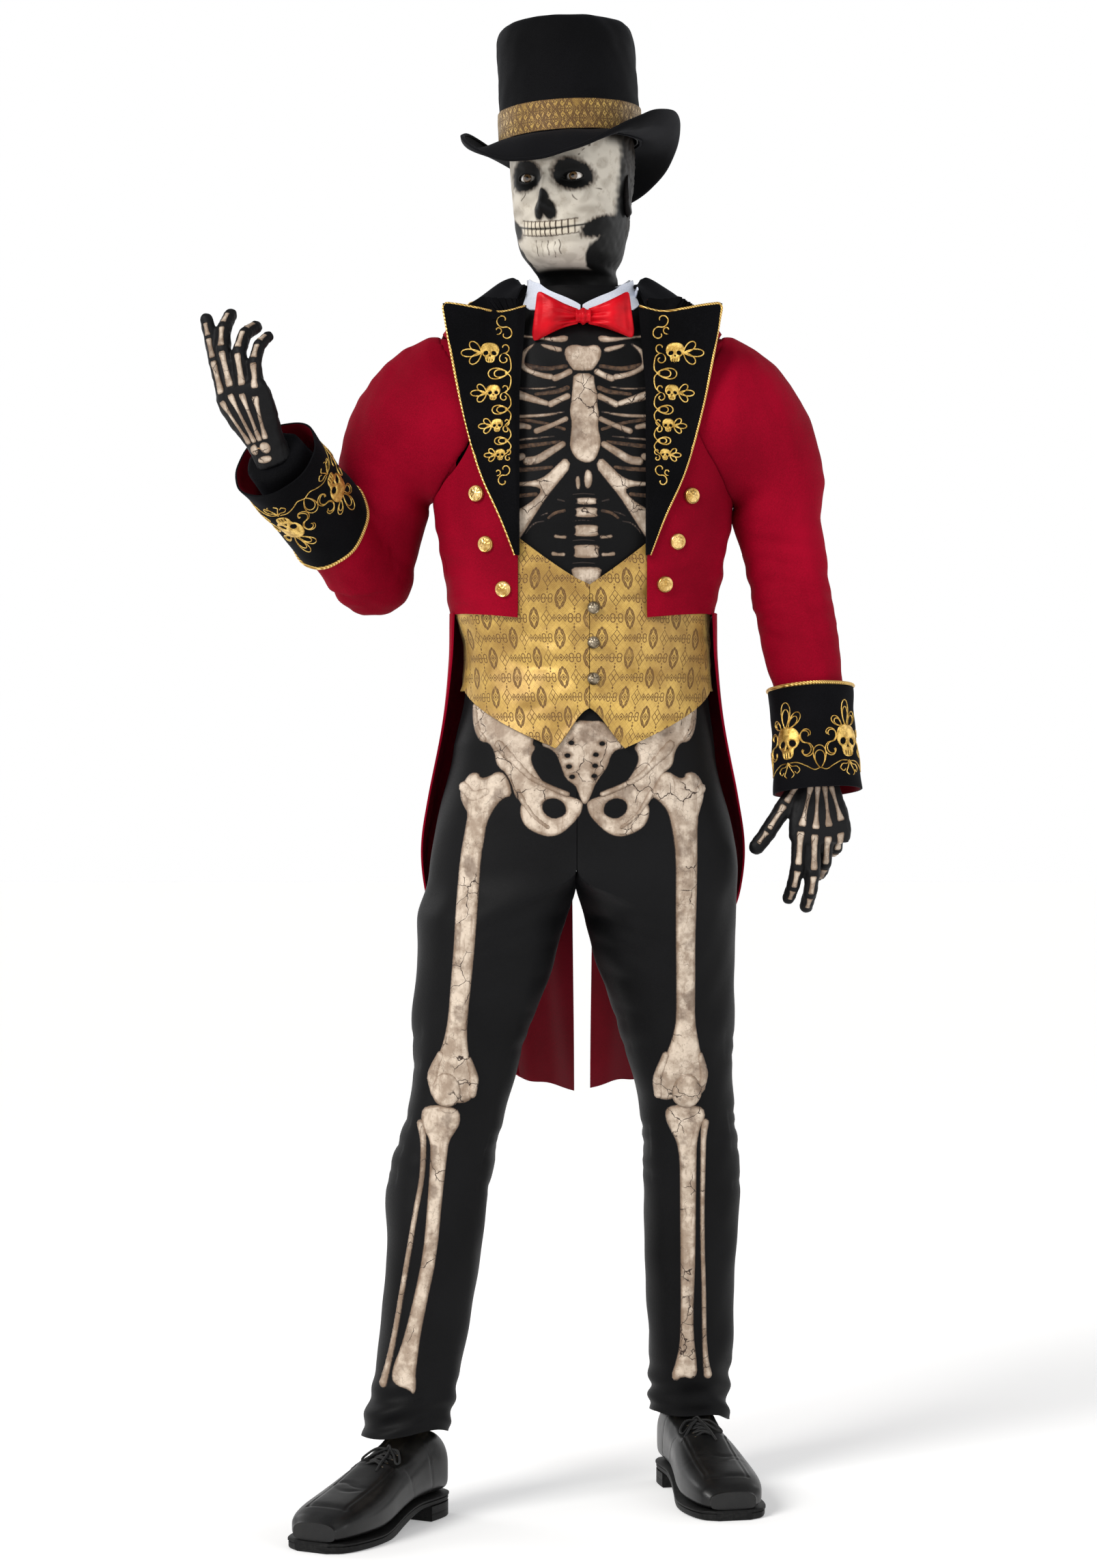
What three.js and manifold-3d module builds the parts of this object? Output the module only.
// A life-size papier-mache catrin: a skeleton gentleman in a ringmaster's tailcoat, standing on his own shoes.
// Millimetres, +Z up, the face looks along -Y. "Right" and "left" are the figure's own.
// A steel and wood armature carries paper shells, and the clothes go over them as thin solids.
import * as THREE from "three";
import Module from "manifold-3d";
import { mergeVertices } from "three/addons/utils/BufferGeometryUtils.js";

const wasm = await Module();
wasm.setup();

// ---------------------------------------------------------------- driving dimensions
const AXIS_Y = 77; // depth of the arms' common axis behind the design origin
const SHOULDER_Z = 1412; // height of the arms' axis
const NECK = new THREE.Vector3(0, 90, 0); // the neck's vertical axis
const HEAD_YAW = -0.35; // the head looks to its own right at rest
const ARMHOLE_R = 110; // round armholes, so that a sleeve can turn in them
const SLEEVE_R = 107;
const PEG_R = 12; // pegs and dowels of the armature
const BORE_R = 12.7;
const ROD_R = 11; // leg rods
const DOWEL_R = 9;
const CLOTH = 2.5; // thickness of cloth solids
const PAPER = 7; // wall of the paper shells
const GAP = 0.4; // between pieces that touch

// Layers over the torso, as the distance of each inner face from the paper skin.
const SHIRT = 1.5;
const TROUSERS = 4.5;
const VEST = 8.5;
const COAT = 14;
const LAPEL = 20;

// Each row: height, centre x, centre y, half width, half depth.
const TORSO = [
  [990, 6, 78, 162, 113],
  [1050, 9, 78, 151, 106],
  [1110, 9, 77, 149, 103],
  [1164, 4, 76, 154, 106],
  [1230, 4, 75, 166, 113],
  [1300, 5, 75, 177, 119],
  [1370, 5, 77, 179, 121],
  [1440, 4, 79, 179, 117],
  [1485, 3, 82, 175, 108],
  [1515, 2, 84, 160, 97],
  [1540, 1, 86, 118, 82],
  [1556, 0, 88, 84, 70],
  [1572, 0, 90, 66, 64],
];
const RIGHT_LEG = [
  [108, -225, 24, 50, 54],
  [174, -212, 30, 48, 52],
  [234, -202, 37, 50, 54],
  [334, -190, 46, 54, 59],
  [435, -180, 54, 59, 64],
  [536, -156, 52, 56, 62],
  [636, -139, 60, 70, 78],
  [737, -118, 68, 86, 95],
  [820, -101, 75, 90, 106],
];
const LEFT_LEG = [
  [96, 149, 236, 48, 52],
  [141, 149, 231, 44, 50],
  [206, 150, 222, 48, 53],
  [313, 149, 206, 52, 57],
  [420, 150, 186, 56, 62],
  [526, 141, 152, 56, 62],
  [631, 125, 128, 71, 78],
  [735, 110, 104, 85, 95],
  [820, 100, 84, 93, 106],
];
const WAIST_Z = 1078; // top of the trousers
const CROTCH_Z = 826;
const HIPS_X = -4; // the seam between the trouser legs

// Arms: where the arm begins (half width, and how far its front and back reach inwards), the armpit (x, z),
// then points down the upper arm and along the forearm (x, y, z, radius).
const RIGHT_ARM = {
  side: -1,
  plane: 186,
  reach: 48,
  pit: [-194, 1304],
  upper: [[-255, 92, 1292, 58], [-264, 106, 1250, 56], [-271, 114, 1214, 54]],
  fore: [[-271, 114, 1214, 54], [-314, 50, 1265, 50], [-360, -20, 1320, 44], [-387, -61, 1353, 40]],
  cuff: { from: [-314, 50, 1265], to: [-384, -57, 1349], r: [54, 56], slant: 36 },
};
const LEFT_ARM = {
  side: 1,
  plane: 191,
  reach: 42,
  pit: [197, 1300],
  upper: [[254, 82, 1284, 55], [266, 90, 1235, 55], [276, 92, 1180, 53]],
  fore: [[276, 92, 1180, 53], [290, 86, 1110, 49], [301, 76, 1040, 43], [305, 66, 965, 40]],
  cuff: { from: [300, 79, 1062], to: [308, 62, 930], r: [51, 54], slant: 0 },
};
// Hands: the wrist, the way the fingers point, and the way the back of the hand faces.
const RIGHT_HAND = {
  wrist: [-389, -64, 1356],
  way: [-0.42, -0.25, 0.87],
  back: [-0.5, -0.8, -0.45],
  thumb: [[20, 28, -10], [30, 54, -24], [28, 78, -33], [20, 95, -38]],
};
const LEFT_HAND = {
  wrist: [308, 65, 958],
  way: [0.03, -0.13, -0.98],
  back: [0.2, -0.97, 0.12],
  thumb: [[22, 14, -4], [42, 44, -9], [65, 78, -14], [80, 97, -18]],
};
const RIGHT_FOOT = { heel: [-190, 68], turn: -0.5 };
const LEFT_FOOT = { heel: [134, 288], turn: 0.22 };
const FOOT_LENGTH = 290;

const HAT = { x: -14, y: 66, base: 1766, top: 1921, rx: 88, ry: 102, brim: 50 };

// ---------------------------------------------------------------- small tools
const V = (x, y, z) => new THREE.Vector3(x, y, z);
const mix = (a, b, t) => a + (b - a) * t;
const smooth = (a, b, x) => {
  const t = Math.min(1, Math.max(0, (x - a) / (b - a)));
  return t * t * (3 - 2 * t);
};
const power = (x, e) => Math.sign(x) * Math.abs(x) ** e;

// Smooth values between the rows of a table, whose first column rises.
function along(table, at) {
  const last = table.length - 1;
  let i = 0;
  while (i < last - 1 && table[i + 1][0] < at) i++;
  const [a, b] = [table[i], table[i + 1]];
  const t = Math.min(1, Math.max(0, (at - a[0]) / (b[0] - a[0])));
  const slope = (k, c) => {
    const [p, q] = [table[Math.max(0, k - 1)], table[Math.min(last, k + 1)]];
    return (q[c] - p[c]) / (q[0] - p[0]);
  };
  const h = b[0] - a[0];
  return a.slice(1).map((_, n) => {
    const c = n + 1;
    const [m0, m1] = [slope(i, c) * h, slope(i + 1, c) * h];
    const [t2, t3] = [t * t, t * t * t];
    return (2 * t3 - 3 * t2 + 1) * a[c] + (t3 - 2 * t2 + t) * m0 + (3 * t2 - 2 * t3) * b[c] + (t3 - t2) * m1;
  });
}

// Turns points and faces into a geometry whose faces point out.
function geometry(points, faces) {
  let volume = 0;
  for (const [a, b, c] of faces) volume += points[a].dot(points[b].clone().cross(points[c]));
  const index = faces.flatMap(([a, b, c]) => (volume < 0 ? [a, c, b] : [a, b, c]));
  const made = new THREE.BufferGeometry();
  made.setAttribute("position", new THREE.Float32BufferAttribute(points.flatMap((p) => [p.x, p.y, p.z]), 3));
  made.setIndex(index);
  return made;
}

// A closed body lofted through rings of the same number of points, capped at both ends.
function loft(rings) {
  const n = rings[0].length;
  const points = rings.flat();
  const faces = [];
  const middle = (ring) => ring.reduce((s, p) => s.add(p), V(0, 0, 0)).multiplyScalar(1 / n);
  for (let j = 0; j + 1 < rings.length; j++)
    for (let i = 0; i < n; i++) {
      const [a, b] = [j * n + i, j * n + ((i + 1) % n)];
      faces.push([a, b, b + n], [a, b + n, a + n]);
    }
  const ends = [[0, rings[0]], [(rings.length - 1) * n, rings[rings.length - 1]]];
  ends.forEach(([start, ring], end) => {
    points.push(middle(ring));
    const centre = points.length - 1;
    for (let i = 0; i < n; i++) {
      const [a, b] = [start + i, start + ((i + 1) % n)];
      faces.push(end ? [a, b, centre] : [b, a, centre]);
    }
  });
  return geometry(points, faces);
}

// A thin solid over a grid: place(u, v, layer) is a point of its inner (0) or outer (1) face.
// It closes on itself along u when wrap is true, and otherwise has four edges.
function sheet(columns, rows, place, wrap = false) {
  const across = wrap ? columns : columns + 1;
  const points = [];
  const faces = [];
  for (const layer of [0, 1])
    for (let j = 0; j <= rows; j++)
      for (let i = 0; i < across; i++) points.push(place(i / columns, j / rows, layer));
  const at = (i, j, layer) => (layer * (rows + 1) + j) * across + (i % across);
  const quad = (a, b, c, d) => faces.push([a, b, c], [a, c, d]);
  for (let j = 0; j < rows; j++)
    for (let i = 0; i < columns; i++) {
      quad(at(i, j, 1), at(i + 1, j, 1), at(i + 1, j + 1, 1), at(i, j + 1, 1));
      quad(at(i, j + 1, 0), at(i + 1, j + 1, 0), at(i + 1, j, 0), at(i, j, 0));
    }
  for (let i = 0; i < columns; i++) {
    quad(at(i, 0, 0), at(i + 1, 0, 0), at(i + 1, 0, 1), at(i, 0, 1));
    quad(at(i, rows, 1), at(i + 1, rows, 1), at(i + 1, rows, 0), at(i, rows, 0));
  }
  if (!wrap)
    for (let j = 0; j < rows; j++) {
      quad(at(0, j, 1), at(0, j + 1, 1), at(0, j + 1, 0), at(0, j, 0));
      quad(at(columns, j, 0), at(columns, j + 1, 0), at(columns, j + 1, 1), at(columns, j, 1));
    }
  return geometry(points, faces);
}

// A wall between two sets of rings, open at both ends.
function tube(outer, inner) {
  const n = outer[0].length;
  const rows = outer.length - 1;
  return sheet(n, rows, (u, v, layer) => {
    const ring = (layer ? outer : inner)[Math.round(v * rows)];
    return ring[Math.round(u * n) % n].clone();
  }, true);
}

// A ring of n points about a centre: a and b are its half-axis vectors.
const ringOf = (n, centre, a, b, bulge = 2) =>
  Array.from({ length: n }, (_, i) => {
    const t = (i / n) * 2 * Math.PI;
    return centre
      .clone()
      .addScaledVector(a, power(Math.cos(t), 2 / bulge))
      .addScaledVector(b, power(Math.sin(t), 2 / bulge));
  });

const toSolid = (g) => {
  const bare = new THREE.BufferGeometry();
  bare.setAttribute("position", (g.index ? g.toNonIndexed() : g).getAttribute("position"));
  const merged = mergeVertices(bare, 1e-4);
  return new wasm.Manifold(
    new wasm.Mesh({
      numProp: 3,
      vertProperties: merged.attributes.position.array,
      triVerts: new Uint32Array(merged.index.array),
    }),
  );
};
const fromSolid = (s) => {
  const m = s.getMesh();
  const g = new THREE.BufferGeometry();
  const xyz = Array.from({ length: m.numVert }, (_, i) => [
    ...m.vertProperties.subarray(i * m.numProp, i * m.numProp + 3),
  ]).flat();
  g.setAttribute("position", new THREE.Float32BufferAttribute(xyz, 3));
  g.setIndex(new THREE.BufferAttribute(m.triVerts, 1));
  return g;
};
const cut = (g, ...tools) => fromSolid(tools.reduce((s, t) => s.subtract(toSolid(t)), toSolid(g)));
const join = (...parts) => fromSolid(parts.slice(1).reduce((s, t) => s.add(toSolid(t)), toSolid(parts[0])));
// The same shape with the triangles that matter less than a tolerance left out.
const plainer = (g, tolerance) => fromSolid(toSolid(g).simplify(tolerance));

// A round bar from one point to another.
function bar(from, to, radius, sides = 10) {
  const axis = to.clone().sub(from);
  const g = new THREE.CylinderGeometry(radius, radius, axis.length(), sides);
  g.applyQuaternion(new THREE.Quaternion().setFromUnitVectors(V(0, 1, 0), axis.clone().normalize()));
  const middle = from.clone().add(to).multiplyScalar(0.5);
  return g.translate(middle.x, middle.y, middle.z);
}
const box = (x0, x1, y0, y1, z0, z1) =>
  new THREE.BoxGeometry(x1 - x0, y1 - y0, z1 - z0).translate((x0 + x1) / 2, (y0 + y1) / 2, (z0 + z1) / 2);

// ---------------------------------------------------------------- materials
const finish = (color, roughness, metalness = 0) => new THREE.MeshStandardMaterial({ color, roughness, metalness });
const STEEL = finish(0x8a8c90, 0.4, 0.9);
const WOOD = finish(0xa87c4f, 0.7);
const PAPER_PULP = finish(0xc9b99a, 0.9);
const BONE_PAINT = finish(0xd9cfbd, 0.6);
const BLACK_KNIT = finish(0x0b0b0c, 0.85);
const BLACK_VELVET = finish(0x050506, 0.95);
const RED_CLOTH = finish(0x8c0716, 0.8);
const RED_SATIN = finish(0xc80f1e, 0.3);
const WHITE_COTTON = finish(0xe9ebef, 0.8);
const BROCADE = finish(0xcf9a3a, 0.45);
const BRASS = finish(0xb98a3a, 0.35, 0.9);
const PEWTER = finish(0x77715f, 0.4, 0.8);
const LEATHER = finish(0x0a0a0a, 0.3);
const RUBBER = finish(0x121212, 0.6);

const figure = new THREE.Group();
function add(name, shape, material) {
  const mesh = new THREE.Mesh(shape, material);
  mesh.name = name;
  figure.add(mesh);
  return mesh;
}

// ---------------------------------------------------------------- torso and what lies on it
// A point on the torso: angle 0 is the front, positive towards the figure's left, offset is out from the skin.
function onTorso(angle, z, offset) {
  const [cx, cy, rx, ry] = along(TORSO, z);
  const e = 2 / 2.4;
  return V(
    cx + (rx + offset) * power(Math.sin(angle), e),
    cy - (ry + offset) * power(Math.cos(angle), e),
    z + offset * smooth(1450, 1545, z),
  );
}
// The angle at which the torso's front, at that height and offset, has that x.
function angleAt(x, z, offset) {
  const [cx, , rx] = along(TORSO, z);
  const s = Math.max(-1, Math.min(1, (x - cx) / (rx + offset)));
  return Math.asin(power(s, 2.4 / 2));
}

const SHELL_ZS = [1000, 1036, 1078, 1110, 1164, 1230, 1300, 1370, 1440, 1485, 1515, 1540, 1556, 1572];
function torsoShell() {
  const wall = sheet(22, SHELL_ZS.length - 1, (u, v, layer) => {
    const z = SHELL_ZS[Math.round(v * (SHELL_ZS.length - 1))];
    return onTorso(u * 2 * Math.PI, z, layer ? 0 : -PAPER);
  }, true);
  return plainer(cut(wall, bar(V(-230, AXIS_Y, SHOULDER_Z), V(230, AXIS_Y, SHOULDER_Z), 20, 8)), 0.5);
}

function shirtFront() {
  const zs = SHELL_ZS.slice(3, 12);
  return sheet(8, zs.length - 1, (u, v, layer) => {
    const z = zs[Math.round(v * (zs.length - 1))];
    return onTorso(mix(-0.95, 0.95, u), z, SHIRT + 3 * smooth(1440, 1540, z) + layer * CLOTH);
  });
}

// One front of the waistcoat, from its middle edge to behind the side.
function vestFront(side) {
  const middle = side < 0 ? 11.6 : 12.4;
  return sheet(9, 6, (u, v, layer) => {
    const away = side * mix(0, 1.9, u);
    const point = side < 0 ? 0.17 : 0.21;
    const a = Math.abs(away);
    const low = a < point ? mix(1036, 986, a / point) : mix(986, 1060, Math.min(1, (a - point) / 1.1));
    const high = mix(1192, 1278, Math.min(1, a / 0.62));
    const z = mix(low, high, v);
    const start = angleAt(middle, z, VEST);
    return onTorso(mix(start, side * 1.9, u), z, VEST + layer * CLOTH);
  });
}

// The round armhole that is cut out of the coat.
const armholes = () => bar(V(-260, AXIS_Y, SHOULDER_Z), V(260, AXIS_Y, SHOULDER_Z), ARMHOLE_R, 28);

const SIDE_SEAM = 1.3;
const FRONT_EDGE = { "-1": -78, 1: 84 };
function coatFront(side) {
  const panel = sheet(6, 10, (u, v, layer) => {
    const z = mix(1158, 1540, v);
    const start = angleAt(FRONT_EDGE[side], z, COAT);
    return onTorso(mix(start, side * SIDE_SEAM, u), z, COAT + layer * CLOTH);
  });
  return plainer(cut(panel, armholes()), 0.4);
}
function coatBack() {
  const panel = sheet(14, 10, (u, v, layer) => {
    const angle = mix(SIDE_SEAM + 0.006, 2 * Math.PI - SIDE_SEAM - 0.006, u);
    return onTorso(angle, mix(1158, 1540, v), COAT + layer * CLOTH);
  });
  return plainer(cut(panel, armholes()), 0.4);
}

// The tails: height, angle of the front edge, half width, half depth. The left one clears the leg behind it.
const TAIL = [
  [528, 2.75, 190, 150],
  [600, 2.66, 195, 151],
  [680, 2.42, 205, 151],
  [740, 2.18, 212, 150],
  [830, 1.82, 215, 148],
  [920, 1.6, 198, 140],
  [1020, 1.45, 179, 131],
  [1100, 1.36, 171, 125],
  [1154, 1.3, 170, 122],
];
function coatTail(side) {
  return sheet(7, 9, (u, v, layer) => {
    const z = mix(mix(548, 530, u ** 2), 1157, v);
    const [front, rx, ry] = along(TAIL, z);
    const a = mix(front, Math.PI - 0.035, u);
    const e = 2 / 2.4;
    const out = layer * CLOTH;
    const deep = ry + out + (side > 0 ? 34 * (1 - smooth(560, 900, z)) : 0);
    return V(5 + side * (rx + out) * power(Math.sin(a), e), 77 - deep * power(Math.cos(a), e), z);
  });
}

// Height, inner edge x and outer edge x of the lapel on the figure's right, from the middle.
const LAPEL_SHAPE = [
  [1228, 79, 82],
  [1272, 83, 99],
  [1336, 82, 127],
  [1415, 78, 149],
  [1495, 72, 165],
  [1548, 68, 174],
];
// The depth of the chest's front at x and z, which a lapel follows and then leaves at the shoulder.
function chestY(x, z, offset) {
  const level = Math.min(z, 1462);
  const y = onTorso(angleAt(x, level, offset), level, offset).y + Math.max(0, z - 1462) * 0.3;
  return mix(y, Math.min(y, AXIS_Y - ARMHOLE_R - 4), smooth(95, 130, Math.abs(x)));
}
function lapel(side) {
  return sheet(6, 12, (u, v, layer) => {
    const z = mix(1229, 1548, v) - 14 * v ** 8 * Math.sin(Math.PI * u) * (1 - u);
    const [inner, outer] = along(LAPEL_SHAPE, mix(1229, 1548, v));
    const x = (side < 0 ? 0 : 6) + side * mix(inner, outer, u);
    return V(x, chestY(x, z, LAPEL) - layer * CLOTH, z);
  });
}

function coatCollar() {
  return sheet(16, 4, (u, v, layer) => {
    const angle = mix(0.95, 2 * Math.PI - 0.95, u);
    const thick = layer * CLOTH * 1.4;
    const r = mix(136, 82, v ** 0.8) + thick;
    const z = mix(1561, 1592, Math.sin((v * Math.PI) / 2)) + thick;
    return V(r * Math.sin(angle), NECK.y - r * 0.86 * Math.cos(angle), z);
  });
}
function shirtCollar() {
  return sheet(18, 2, (u, v, layer) => {
    const angle = mix(0.24, 2 * Math.PI - 0.24, u);
    const r = 62 + layer * CLOTH + 3 * v;
    const z = mix(1576, 1600, v) - (1 - Math.cos(angle - Math.PI)) * 3 * v;
    return V(r * Math.sin(angle), NECK.y - r * Math.cos(angle), z);
  });
}

// One loop of the bow: a flat pillow that widens away from the knot.
function bowLoop(side) {
  const rows = [[12, 9, 5], [26, 17, 9], [46, 25, 11], [60, 28, 9], [66, 22, 4]];
  return loft(
    rows.map(([x, h, t]) => ringOf(8, V(3 + side * x, -28, 1543), V(0, t, 0), V(0, 0, h * side), 2.6)),
  );
}
const bowKnot = () =>
  loft([-11, -7, 0, 7, 11].map((x) => ringOf(8, V(3 + x, -29, 1543), V(0, 11 - Math.abs(x) * 0.5, 0), V(0, 0, 13 - Math.abs(x) * 0.4), 2.4)));

function button(at, out, radius) {
  const profile = [[0, 0], [radius, 0], [radius, 2.2], [radius * 0.6, 4.6], [0, 5.2]];
  const g = new THREE.LatheGeometry(profile.map(([x, y]) => new THREE.Vector2(x, y)), 9);
  g.applyQuaternion(new THREE.Quaternion().setFromUnitVectors(V(0, 1, 0), out));
  return fromSolid(toSolid(g.translate(at.x, at.y, at.z)));
}
// A button on the torso's front at x and z, whose back clears the cloth.
function buttonAt(x, z, offset, radius) {
  const angle = angleAt(x, z, offset);
  const here = onTorso(angle, z, offset);
  const side = onTorso(angle + 0.05, z, offset).sub(here);
  const up = onTorso(angle, z + 8, offset).sub(here);
  const out = side.cross(up).normalize();
  return button(here.addScaledVector(out, 1.2), out, radius);
}

// ---------------------------------------------------------------- legs
// A ring of a trouser leg or leg shell. Above the crotch it is half of the hips' outline, flat at the seam.
function legRing(table, side, z, offset, n = 16) {
  const [cx, cy, rx, ry] = along(table, Math.min(z, CROTCH_Z));
  const round = ringOf(n, V(cx, cy, z), V(rx + offset, 0, 0), V(0, ry + offset, 0), 2.2);
  const [hx, hy, hrx, hry] = along(TORSO, Math.max(z, 990));
  const low = 1 - smooth(830, 1000, z);
  const blend = smooth(CROTCH_Z - 60, CROTCH_Z + 6, z);
  const seam = HIPS_X + side * (0.4 + TROUSERS + CLOTH - offset);
  return round.map((p, i) => {
    const t = (i / n) * 2 * Math.PI;
    const e = 2 / 2.4;
    const half = V(
      hx + (hrx + offset + 30 * low) * power(Math.cos(t), e),
      hy + (hry + offset - 5 * low) * power(Math.sin(t), e),
      z,
    );
    if (side * (half.x - seam) < 0) half.x = seam;
    return p.lerp(half, blend);
  });
}
const LEG_ZS = [180, 240, 334, 435, 536, 636, 700, 766, 800, 826, 860, 920, 996];
// The room inside the waistband, where there is no seam.
function waistRoom() {
  const ring = (z) => Array.from({ length: 22 }, (_, i) => onTorso((i / 11) * Math.PI, z, 1));
  return loft([997.5, 1000, 1036, 1078, 1100].map(ring));
}
function trouserLeg(table, side) {
  const zs = [table[0][0], ...LEG_ZS, 1036, WAIST_Z];
  const leg = tube(
    zs.map((z) => legRing(table, side, z, TROUSERS + CLOTH)),
    zs.map((z) => legRing(table, side, z, TROUSERS)),
  );
  return plainer(cut(leg, waistRoom()), 0.5);
}
function legShell(table, side) {
  const zs = [table[0][0] + 22, ...LEG_ZS];
  const shell = tube(
    zs.map((z) => legRing(table, side, z, -1)),
    zs.map((z) => legRing(table, side, z, -1 - PAPER)),
  );
  return plainer(shell, 1);
}
const ROD = {
  right: [V(-229, 22, 33), V(-90, 78, 1032)],
  left: [V(148, 236, 33), V(92, 64, 1032)],
};

// ---------------------------------------------------------------- shoes
// Rows of the upper: distance from the back of the heel, half width and top.
const SHOE = [
  [4, 20, 72],
  [12, 30, 96],
  [30, 34, 110],
  [66, 36, 112],
  [90, 37, 101],
  [115, 39, 89],
  [145, 43, 82],
  [180, 48, 68],
  [215, 50, 58],
  [250, 46, 50],
  [274, 38, 42],
  [286, 27, 33],
];
// The top face of the sole at a distance from the heel.
const soleTop = (f) => mix(30, 12.6, smooth(85, 215, f));
// Turns a foot's own frame (forward, outward, up) into the figure's.
const footPlace = ({ heel, turn }) => (forward, across, z) =>
  V(
    heel[0] + Math.sin(turn) * forward + Math.cos(turn) * across,
    heel[1] - Math.cos(turn) * forward + Math.sin(turn) * across,
    z,
  );
const rodHole = (rod, r) => bar(rod[0].clone().lerp(rod[1], -0.05), rod[1], r);
function shoeUpper(foot, rod) {
  const place = footPlace(foot);
  const rings = SHOE.map(([f, w, high]) =>
    Array.from({ length: 12 }, (_, i) => {
      const t = (i / 12) * 2 * Math.PI;
      const up = power(Math.sin(t), Math.sin(t) < 0 ? 0.35 : 0.8);
      return place(f, w * power(Math.cos(t), 0.7), mix(soleTop(f) + GAP, high, 0.5 + 0.5 * up));
    }),
  );
  return cut(loft(rings), rodHole(rod, ROD_R + 0.6));
}
// The half width of the sole at a distance from the heel.
const SOLE = [[0, 17], [8, 28], [30, 36], [90, 37], [140, 42], [205, 53], [250, 51], [282, 40], [292, 24]];
const soleWidth = (f) => along(SOLE, f)[0];
function slab(foot, rows, low, high) {
  const place = footPlace(foot);
  return loft(
    rows.map((f) => {
      const w = soleWidth(f);
      const [a, b] = [low(f), high(f)];
      return [[-w, a], [0, a], [w, a], [w, b], [0, b], [-w, b]].map(([x, z]) => place(f, x, z));
    }),
  );
}
const HEEL_HEIGHT = 19;
const sole = (foot) =>
  slab(
    foot,
    [0, 4, 12, 30, 66, 90, 115, 145, 180, 215, 250, 274, 286, 292],
    (f) => mix(HEEL_HEIGHT + GAP, 0, smooth(75, 190, f)),
    soleTop,
  );
const heelBlock = (foot) => slab(foot, [0, 4, 12, 30, 64], () => 0, () => HEEL_HEIGHT);
// The laces zigzag over the instep from eyelet to eyelet.
function laces(foot) {
  const place = footPlace(foot);
  const points = Array.from({ length: 8 }, (_, k) => {
    const f = mix(172, 118, k / 7);
    const across = (k % 2 ? 1 : -1) * 14;
    const [w, high] = along(SHOE, f);
    const low = soleTop(f) + GAP;
    const rise = Math.sqrt(1 - (across / w) ** 2);
    return place(f, across, mix(low, high, 0.5 + 0.5 * rise ** 0.8) + 4.5);
  });
  const path = new THREE.CatmullRomCurve3(points, false, "catmullrom", 0.2);
  const section = new THREE.Shape();
  for (let i = 0; i <= 6; i++) {
    const t = (i / 6) * 2 * Math.PI;
    section[i ? "lineTo" : "moveTo"](1.7 * Math.cos(t), 1.7 * Math.sin(t));
  }
  return fromSolid(toSolid(new THREE.ExtrudeGeometry(section, { steps: 21, extrudePath: path })));
}

// ---------------------------------------------------------------- arms
const at = (p) => V(p[0], p[1], p[2]);
// The upper arm: a short round stretch in the armhole, a fan about the armpit, then down to the elbow.
function upperArm(arm, inset, n = 14) {
  const { side, plane, reach, pit, upper } = arm;
  const [px, pz] = pit;
  const rings = [];
  const flat = (x, dip) =>
    Array.from({ length: n }, (_, i) => {
      const a = (i / n) * 2 * Math.PI;
      const r = SLEEVE_R - inset;
      const back = dip * Math.abs(Math.cos(a)) ** 4;
      return V(side * (x - back), AXIS_Y + r * Math.cos(a), SHOULDER_Z + r * Math.sin(a));
    });
  if (inset) rings.push(flat(plane - 21, reach));
  rings.push(flat(plane - 1, reach), flat(Math.abs(px), 0));
  const span = [[0, SHOULDER_Z + SLEEVE_R - pz], [0.44, 178], [0.9, 140], [1.57, 118]];
  for (const f of [0.3, 0.6, 0.95, 1.3]) {
    const t = f / 1.57;
    const near = 4 + inset;
    const far = along(span, f)[0] - inset;
    const out = V(side * Math.sin(f), 0, Math.cos(f));
    const centre = V(px, mix(AXIS_Y, upper[0][1], t * t), pz).addScaledVector(out, (near + far) / 2);
    const depth = mix(SLEEVE_R, upper[0][3] + 4, Math.sin(f)) - inset;
    rings.push(ringOf(n, centre, V(0, depth, 0), out.clone().multiplyScalar((far - near) / 2)));
  }
  upper.forEach(([x, y, z, r], k) => {
    const lean = V(side * 0.05 * k, 0.1 * k, 1).normalize();
    const across = V(0, 1, 0).addScaledVector(lean, -lean.y).normalize();
    const out = across.clone().cross(lean).multiplyScalar(side);
    const wide = r + (k ? 0 : 3) - inset;
    rings.push(ringOf(n, V(x, y, z), across.multiplyScalar(wide), out.multiplyScalar(wide)));
  });
  return loft(rings);
}
// The forearm as a round taper, which a longer one can pierce at the wrist end.
function forearm(arm, inset, n = 14) {
  const rows = arm.fore.map((p) => [...p]);
  const [q, p] = [rows[rows.length - 2], rows[rows.length - 1]];
  if (inset) rows.push(p.map((c, i) => (i < 3 ? c + (c - q[i]) * 0.3 : c)));
  const way = at(rows[rows.length - 1]).sub(at(rows[0])).normalize();
  const across = V(0, 1, 0).addScaledVector(way, -way.y).normalize();
  const up = across.clone().cross(way);
  return loft(
    rows.map((row) => {
      const r = row[3] - inset;
      return ringOf(n, at(row), across.clone().multiplyScalar(r), up.clone().multiplyScalar(r));
    }),
  );
}
function elbowBall(arm, inset) {
  const [x, y, z, r] = arm.fore[0];
  return new THREE.SphereGeometry(r - inset + 1, 12, 7).translate(x, y, z);
}
function sleeve(arm) {
  const parts = (inset) => join(upperArm(arm, inset), forearm(arm, inset), elbowBall(arm, inset));
  return plainer(cut(parts(0), parts(CLOTH)), 0.5);
}
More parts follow.
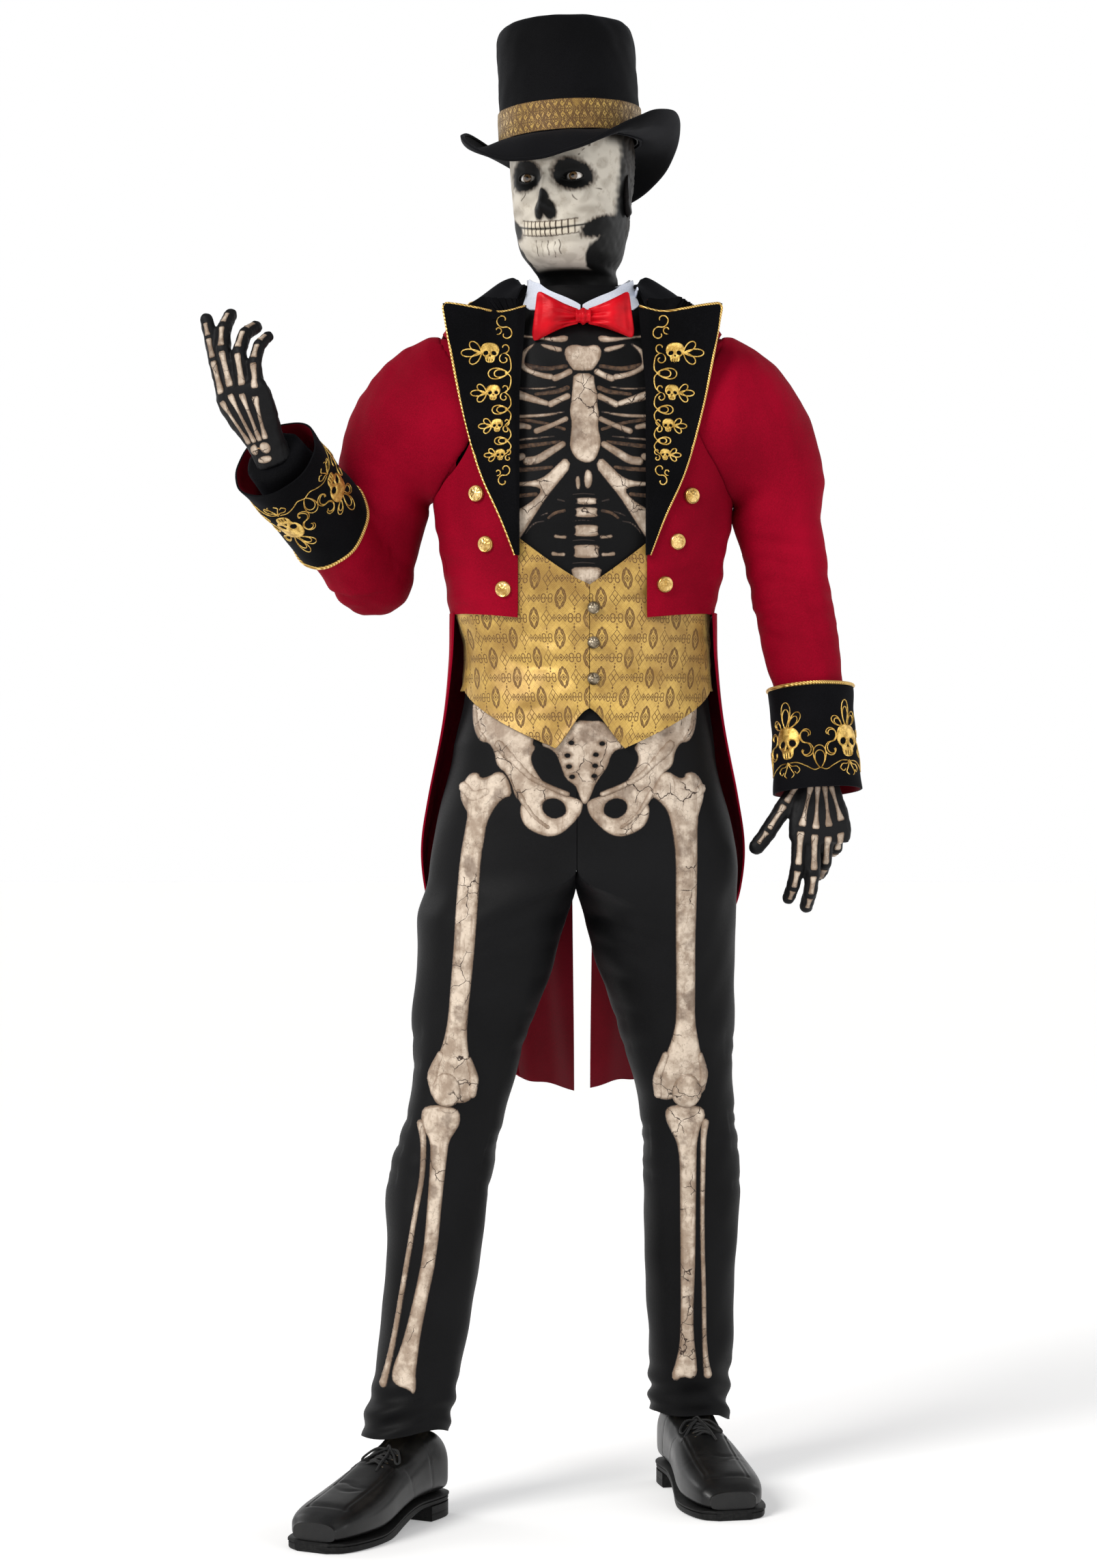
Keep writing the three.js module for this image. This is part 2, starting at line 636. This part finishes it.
// The arm's own frame: a peg in the shoulder bar, then a bar down to the elbow and on to the wrist.
function armRod(arm, radius = ROD_R, inner = 120) {
  const { side, fore } = arm;
  const shoulder = V(side * 236, AXIS_Y, SHOULDER_Z);
  const elbow = at(fore[0]);
  const end = at(fore[3]).lerp(elbow, 0.24);
  const ball = (p) => new THREE.OctahedronGeometry(radius + 3, 1).translate(p.x, p.y, p.z);
  return join(
    bar(V(side * inner, AXIS_Y, SHOULDER_Z), shoulder, PEG_R + (radius - ROD_R)),
    bar(shoulder, elbow, radius),
    bar(elbow, end, radius),
    ball(shoulder),
    ball(elbow),
  );
}
function armCore(arm) {
  const { side, fore } = arm;
  const shoulder = V(side * 238, AXIS_Y, SHOULDER_Z);
  const elbow = at(fore[0]);
  const wrist = at(fore[3]).lerp(elbow, 0.1);
  const cone = (a, b, ra, rb) => {
    const way = b.clone().sub(a).normalize();
    const across = V(1, 0, 0).addScaledVector(way, -way.x).normalize();
    const up = way.clone().cross(across);
    const ring = (c, r) => ringOf(14, c, across.clone().multiplyScalar(r), up.clone().multiplyScalar(r));
    return loft([ring(a, ra), ring(b, rb)]);
  };
  const ball = (p, r) => new THREE.SphereGeometry(r, 10, 6).translate(p.x, p.y, p.z);
  const whole = join(
    ball(shoulder, 50),
    cone(shoulder, elbow, 42, 36),
    ball(elbow, 38),
    cone(elbow, wrist, 36, 27),
  );
  return cut(plainer(whole, 1.2), armRod(arm, ROD_R + GAP, 60), dowel(arm, DOWEL_R + 0.7, 1.02));
}
// The wrist dowel, which reaches from the core's end into the hand.
function dowel(arm, radius, grow = 1) {
  const wrist = at(arm.fore[3]);
  const back = wrist.clone().lerp(at(arm.fore[0]), 0.2 * grow);
  const way = wrist.clone().sub(at(arm.fore[0])).normalize();
  return bar(back, wrist.clone().addScaledVector(way, 26 * grow), radius, 12);
}
function cuff(arm) {
  const { from, to, r, slant } = arm.cuff;
  const [a, b] = [at(from), at(to)];
  const way = b.clone().sub(a).normalize();
  const across = V(0, 1, 0).addScaledVector(way, -way.y).normalize();
  const up = across.clone().cross(way);
  return sheet(18, 3, (u, v, layer) => {
    const t = u * 2 * Math.PI;
    const radius = mix(r[0], r[1], v) + layer * CLOTH;
    const out = across.clone().multiplyScalar(Math.cos(t)).addScaledVector(up, Math.sin(t));
    const start = a.clone().addScaledVector(way, slant * (0.5 + 0.5 * out.z));
    return start.lerp(b, v).addScaledVector(out, radius);
  }, true);
}

// ---------------------------------------------------------------- hands
// Each finger in the hand's own frame: knuckle (across, along), splay, its bones' lengths and bends, and radius.
const OPEN = [
  [27, 88, 0.02, [47, 29, 24], [0.35, 0.05, 0], 8.8],
  [9, 93, 0.02, [50, 31, 25], [0.35, 0.4, 0.45], 9.2],
  [-9, 89, -0.05, [45, 29, 24], [0.4, 0.6, 0.6], 8.8],
  [-26, 80, -0.12, [36, 23, 21], [0.4, 0.5, 0.5], 7.8],
];
const HANGING = [
  [27, 78, 0.08, [47, 28, 23], [0.1, 0.5, 0.3], 8.8],
  [9, 82, 0.02, [50, 30, 25], [0.1, 0.45, 0.35], 9.2],
  [-9, 79, -0.04, [45, 29, 24], [0.5, 0.7, 0.5], 8.8],
  [-26, 71, -0.06, [36, 23, 21], [0.7, 0.8, 0.5], 7.8],
];
function hand(spec, arm, fingers) {
  const way = at(spec.way).normalize();
  const back = at(spec.back).addScaledVector(way, -way.dot(at(spec.back))).normalize();
  const across = back.clone().cross(way);
  const place = (x, y, z) =>
    at(spec.wrist).addScaledVector(across, -arm.side * x).addScaledVector(way, y).addScaledVector(back, z);
  const palm = [[4, 24, 19], [22, 27, 17], [50, 38, 16], [82, 42, 14], [94, 39, 11]];
  const parts = [loft(palm.map(([y, w, t]) =>
    ringOf(12, place(0, y, 0), across.clone().multiplyScalar(w), back.clone().multiplyScalar(t), 2.5)))];
  const chain = (points, r) => {
    points.slice(1).forEach((p, k) => {
      parts.push(bar(points[k], p, r - k * 0.6, 6));
      parts.push(new THREE.OctahedronGeometry(r - k * 0.6 + 0.4, 1).translate(p.x, p.y, p.z));
    });
  };
  for (const [x, y, splay, bones, bends, r] of fingers) {
    let [px, py, pz, turn] = [x, y, 0, 0];
    const points = [place(px, py - 12, 0), place(px, py, pz)];
    bones.forEach((length, k) => {
      turn += bends[k];
      px += splay * length;
      py += length * Math.cos(turn);
      pz -= length * Math.sin(turn);
      points.push(place(px, py, pz));
    });
    chain(points, r);
  }
  chain(spec.thumb.map((p) => place(...p)), 10.5);
  return cut(plainer(join(...parts), 0.9), dowel(arm, DOWEL_R + 0.7, 1.05));
}

// ---------------------------------------------------------------- head
const CHIN_Z = 1600;
const HEAD_FORWARD = 30; // the skull's middle ahead of the neck's axis
// Rows of the head: height over the chin, middle, half width, half depth.
const HEAD = [
  [-40, 30, 50, 50],
  [-6, 28, 50, 51],
  [6, 8, 47, 76],
  [22, 2, 55, 88],
  [52, 0, 64, 94],
  [84, 0, 70, 96],
  [115, 0, 74, 97],
  [150, 0, 76, 97],
  [182, 0, 72, 91],
  [206, 0, 58, 74],
  [222, 0, 36, 46],
  [229, 0, 12, 16],
];
const bump = (x, z, x0, z0, wx, wz) => Math.exp(-(((x - x0) / wx) ** 2) - ((z - z0) / wz) ** 2);
function turned(p, angle = HEAD_YAW) {
  const [c, s] = [Math.cos(angle), Math.sin(angle)];
  return V(NECK.x + p.x * c - p.y * s, NECK.y + p.x * s + p.y * c, p.z);
}
function head() {
  const heights = [-40, -6, 4, 14, 30, 46, 58, 70, 84, 98, 112, 126, 142, 164, 186, 206, 220, 229];
  const n = 26;
  const rings = heights.map((h) => {
    const [cy, rx, ry] = along(HEAD, h);
    return Array.from({ length: n }, (_, i) => {
      const t = (i / n) * 2 * Math.PI;
      const x = rx * power(Math.sin(t), 0.92);
      let y = cy - HEAD_FORWARD - ry * power(Math.cos(t), 0.92);
      const front = Math.max(0, Math.cos(t));
      const face = (dy) => (y -= dy * front ** 0.5);
      if (front > 0 && h > 0) {
        face(13 * bump(x, h, 0, 74, 11, 12) + 6 * bump(x, h, 0, 96, 9, 18));
        face(-7 * bump(Math.abs(x), h, 32, 113, 17, 12));
        face(4 * bump(Math.abs(x), h, 30, 131, 24, 9));
        face(4 * bump(x, h, 0, 46, 24, 8) + 5 * bump(x, h, 0, 12, 18, 12));
      }
      return turned(V(x, y, CHIN_Z + h));
    });
  });
  const ear = (side) => {
    const g = new THREE.SphereGeometry(1, 8, 6).scale(6, 17, 31).rotateZ(side * 0.35).rotateX(0.15);
    const p = turned(V(side * 75, -HEAD_FORWARD + 10, CHIN_Z + 98));
    return g.rotateZ(HEAD_YAW).translate(p.x, p.y, p.z);
  };
  const skull = plainer(join(loft(rings), ear(-1), ear(1)), 0.6);
  return cut(skull, bar(V(0, 90, 1500), V(0, 90, 1690), BORE_R, 16));
}

// ---------------------------------------------------------------- hat
const HAT_TILT = 0.06;
const HAT_BASE = 1764;
const CROWN = { rx: 88, ry: 104, height: 154, wall: 3 };
// Places a point of the hat's own frame: angle 0 is over the face.
function onHat(angle, rx, ry, h) {
  const p = turned(V(rx * Math.sin(angle), -HEAD_FORWARD - ry * Math.cos(angle), 0));
  const centre = turned(V(0, -HEAD_FORWARD, 0));
  const away = p.sub(centre);
  return V(
    centre.x + away.x * Math.cos(HAT_TILT) - h * Math.sin(HAT_TILT),
    centre.y + away.y,
    HAT_BASE + away.x * Math.sin(HAT_TILT) + h * Math.cos(HAT_TILT),
  );
}
function hatRing(grow, h, n = 24, rise = () => 0) {
  return Array.from({ length: n }, (_, i) => {
    const a = (i / n) * 2 * Math.PI;
    return onHat(a, CROWN.rx + grow, CROWN.ry + grow, h + rise(a));
  });
}
// The crown flares slightly to a rounded top.
const CROWN_ROWS = [[0, 2], [48, 0.5], [100, 0], [135, -1], [147, -6], [153, -16], [155, -34]];
function hatCrown() {
  const outer = loft(CROWN_ROWS.map(([h, g]) => hatRing(g, h)));
  const w = CROWN.wall;
  const inner = loft([[-20, 2 - w], ...CROWN_ROWS.map(([h, g]) => [h && h - w, g - w])].map(([h, g]) => hatRing(g, h)));
  return plainer(cut(outer, inner), 0.3);
}
// The brim droops at the front, and more at the back, and rolls up at the sides.
function hatBrim() {
  const n = 24;
  const section = [[3.2, 0], [20, -2], [38, 0], [48, 8], [50, 17]];
  const dip = (a) => (Math.cos(a) > 0 ? 42 : 62) * Math.cos(a) ** 2;
  const drop = (a, t) => t * t * (9 * Math.sin(a) ** 2 - dip(a));
  const rows = (thick) =>
    section.map(([g, h], k) => {
      const t = g / 50;
      return Array.from({ length: n }, (_, i) => {
        const a = (i / n) * 2 * Math.PI;
        const side = Math.sin(a) ** 2;
        const lift = h * (0.15 + 0.85 * side) + drop(a, t);
        const out = g - (k > 2 ? thick * 0.9 : 0) * side;
        return onHat(a, CROWN.rx + out, CROWN.ry + out * (1 - 0.1 * side), lift + 1 + (k > 2 ? thick * (1 - 0.6 * side) : thick));
      });
    });
  return tube(rows(0), rows(3));
}
function hatBand() {
  return sheet(24, 1, (u, v, layer) => {
    const a = u * 2 * Math.PI;
    const g = 2.6 + layer * 1.8 - 1.2 * v;
    return onHat(a, CROWN.rx + g, CROWN.ry + g, mix(5.5, 42, v));
  }, true);
}
function sweatband() {
  return sheet(24, 1, (u, v, layer) => {
    const a = u * 2 * Math.PI;
    const g = -4.4 + layer * 1.8;
    return onHat(a, CROWN.rx + g, CROWN.ry + g, mix(2, 34, v));
  }, true);
}

// ---------------------------------------------------------------- the figure
add("pelvis_block", cut(
  box(-128, 128, 44, 112, 1002, 1040),
  rodHole(ROD.right, ROD_R + 0.7),
  rodHole(ROD.left, ROD_R + 0.7),
), WOOD);
add("spine_post", box(-16, 26, 58, 98, 1041, 1384), WOOD);
add("shoulder_bar", cut(
  box(-156, 156, 44, 112, 1385, 1440),
  bar(V(-170, AXIS_Y, SHOULDER_Z), V(-104, AXIS_Y, SHOULDER_Z), BORE_R, 16),
  bar(V(104, AXIS_Y, SHOULDER_Z), V(170, AXIS_Y, SHOULDER_Z), BORE_R, 16),
), WOOD);
add("neck_peg", bar(V(0, 90, 1441), V(0, 90, 1682), PEG_R, 16), WOOD);
add("leg_rod_right", bar(...ROD.right, ROD_R), STEEL);
add("leg_rod_left", bar(...ROD.left, ROD_R), STEEL);
add("torso_shell", torsoShell(), PAPER_PULP);
add("leg_shell_right", legShell(RIGHT_LEG, -1), PAPER_PULP);
add("leg_shell_left", legShell(LEFT_LEG, 1), PAPER_PULP);
add("shirt_front", shirtFront(), BLACK_KNIT);
add("shirt_collar", shirtCollar(), WHITE_COTTON);
add("bow_loop_right", bowLoop(-1), RED_SATIN);
add("bow_loop_left", bowLoop(1), RED_SATIN);
add("bow_knot", bowKnot(), RED_SATIN);
add("vest_front_right", vestFront(-1), BROCADE);
add("vest_front_left", vestFront(1), BROCADE);
[1163, 1119, 1073].forEach((z, k) => add("vest_button_" + (k + 1), buttonAt(17, z, VEST + CLOTH, 8), PEWTER));
add("coat_back", coatBack(), RED_CLOTH);
add("coat_front_right", coatFront(-1), RED_CLOTH);
add("coat_front_left", coatFront(1), RED_CLOTH);
add("coat_tail_right", coatTail(-1), RED_CLOTH);
add("coat_tail_left", coatTail(1), RED_CLOTH);
add("lapel_right", lapel(-1), BLACK_VELVET);
add("lapel_left", lapel(1), BLACK_VELVET);
add("coat_collar", coatCollar(), BLACK_VELVET);
[[-131, 1308], [-119, 1244], [-97, 1187]].forEach(([x, z], k) =>
  add("coat_button_right_" + (k + 1), buttonAt(x, z, COAT + CLOTH, 11), BRASS));
[[141, 1305], [123, 1247], [107, 1193]].forEach(([x, z], k) =>
  add("coat_button_left_" + (k + 1), buttonAt(x, z, COAT + CLOTH, 11), BRASS));
add("trouser_leg_right", trouserLeg(RIGHT_LEG, -1), BLACK_KNIT);
add("trouser_leg_left", trouserLeg(LEFT_LEG, 1), BLACK_KNIT);
for (const [word, foot] of [["right", RIGHT_FOOT], ["left", LEFT_FOOT]]) {
  add("shoe_upper_" + word, shoeUpper(foot, ROD[word]), LEATHER);
  add("shoe_sole_" + word, sole(foot), RUBBER);
  add("shoe_heel_" + word, heelBlock(foot), RUBBER);
  add("shoe_laces_" + word, laces(foot), BLACK_KNIT);
}
for (const [word, arm, spec, fingers] of [
  ["right", RIGHT_ARM, RIGHT_HAND, OPEN],
  ["left", LEFT_ARM, LEFT_HAND, HANGING],
]) {
  add("arm_rod_" + word, armRod(arm), STEEL);
  add("arm_core_" + word, armCore(arm), PAPER_PULP);
  add("sleeve_" + word, sleeve(arm), RED_CLOTH);
  add("cuff_" + word, cuff(arm), BLACK_VELVET);
  add("hand_" + word, hand(spec, arm, fingers), BLACK_KNIT);
  add("wrist_dowel_" + word, dowel(arm, DOWEL_R), WOOD);
}
add("head", head(), BONE_PAINT);
add("hat_crown", hatCrown(), BLACK_VELVET);
add("hat_brim", hatBrim(), BLACK_VELVET);
add("hat_band", hatBand(), BROCADE);
add("hat_sweatband", sweatband(), LEATHER);

// The origin is under the middle of the bounding box, on the floor.
const bounds = new THREE.Box3().setFromObject(figure);
figure.position.set(-(bounds.min.x + bounds.max.x) / 2, -(bounds.min.y + bounds.max.y) / 2, -bounds.min.z);

export default figure;
